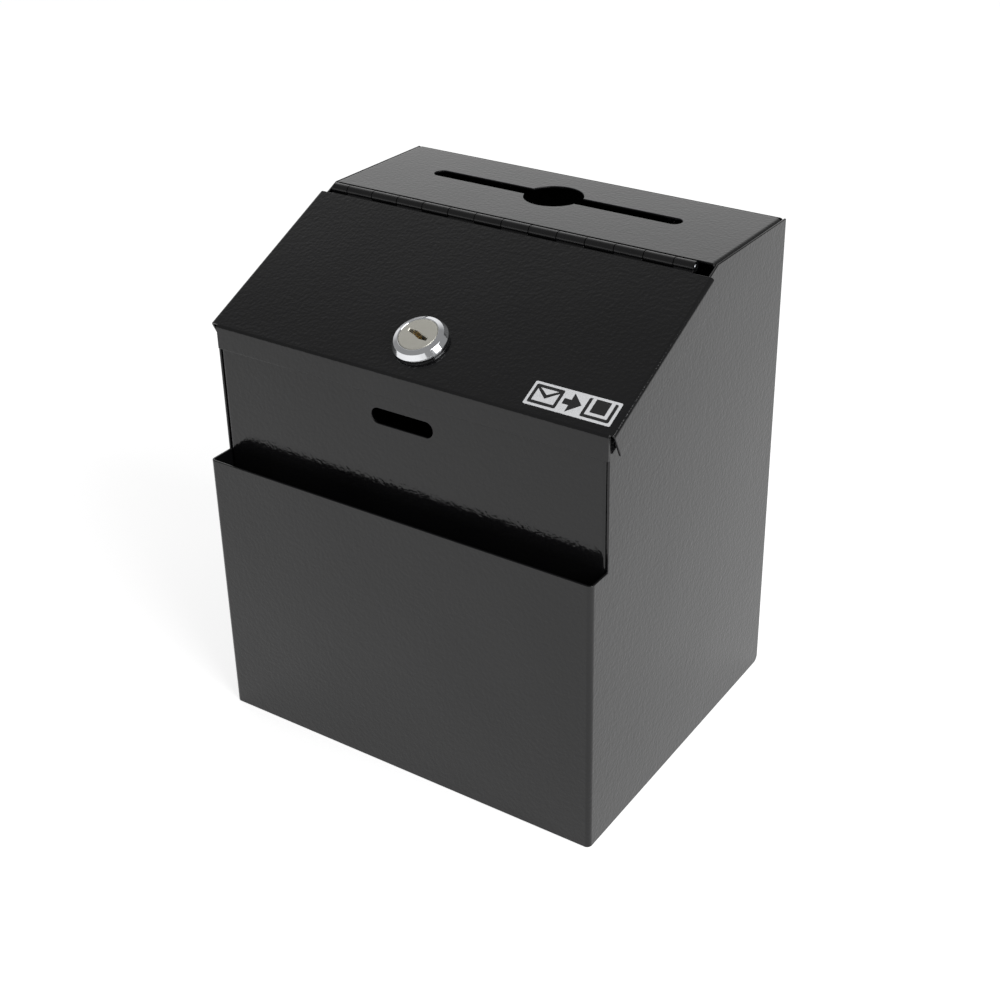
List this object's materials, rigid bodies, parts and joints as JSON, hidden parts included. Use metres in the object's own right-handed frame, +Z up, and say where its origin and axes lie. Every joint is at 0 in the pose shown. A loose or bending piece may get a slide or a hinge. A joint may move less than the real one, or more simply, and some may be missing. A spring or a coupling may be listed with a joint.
{
  "type": "lockable suggestion box",
  "caption": "Lockable steel drop box with a sloping lid on a piano hinge, cam lock, posting slot with a round hole, sight window and front leaflet pocket.",
  "frame": {"origin": "on the floor, at the middle of the box's width and depth", "axes": "+X to the right seen from the front, -Y to the front with the pocket and the lip, +Z up"},
  "size_m": [0.1874, 0.15, 0.2159],
  "materials": {
    "powder_coat": "fine orange-peel powder coat, satin",
    "hinge_coat": "smooth satin coat",
    "pin_steel": "drawn",
    "lock_chrome": "polished",
    "plug_nickel": "satin nickel",
    "zinc_steel": "bright zinc",
    "wafer_brass": "stamped",
    "spring_steel": "drawn wire",
    "label_vinyl": "printed vinyl"
  },
  "bodies": {
    "case": {"outer_wrap": "powder_coat", "front_panel": "powder_coat", "back_panel": "powder_coat", "bottom_panel": "powder_coat", "top_panel": "powder_coat", "hinge_leaf_body": "hinge_coat", "hinge_pin": "pin_steel"},
    "lid": {"lid": "powder_coat", "hinge_leaf_lid": "hinge_coat", "label": "label_vinyl", "lock_housing": "lock_chrome", "lock_trim_ring": "lock_chrome", "lock_washer": "zinc_steel", "lock_nut": "zinc_steel"},
    "plug": {"lock_plug": "plug_nickel", "wafers": "wafer_brass", "wafer_springs": "spring_steel", "stop_washer": "zinc_steel", "lock_cam": "zinc_steel", "cam_washer": "zinc_steel", "cam_screw": "zinc_steel"}
  },
  "joints": [
    {"name": "lid_hinge", "type": "hinge", "parent": "case", "child": "lid", "pos_m": [0, 0.0117, 0.2137], "axis": [-1, 0, 0], "range_deg": [0, 135]},
    {"name": "lock_turn", "type": "hinge", "parent": "lid", "child": "plug", "pos_m": [0, -0.04897, 0.18574], "axis": [0, 0.4321, -0.9018], "range_deg": [0, 90]}
  ]
}
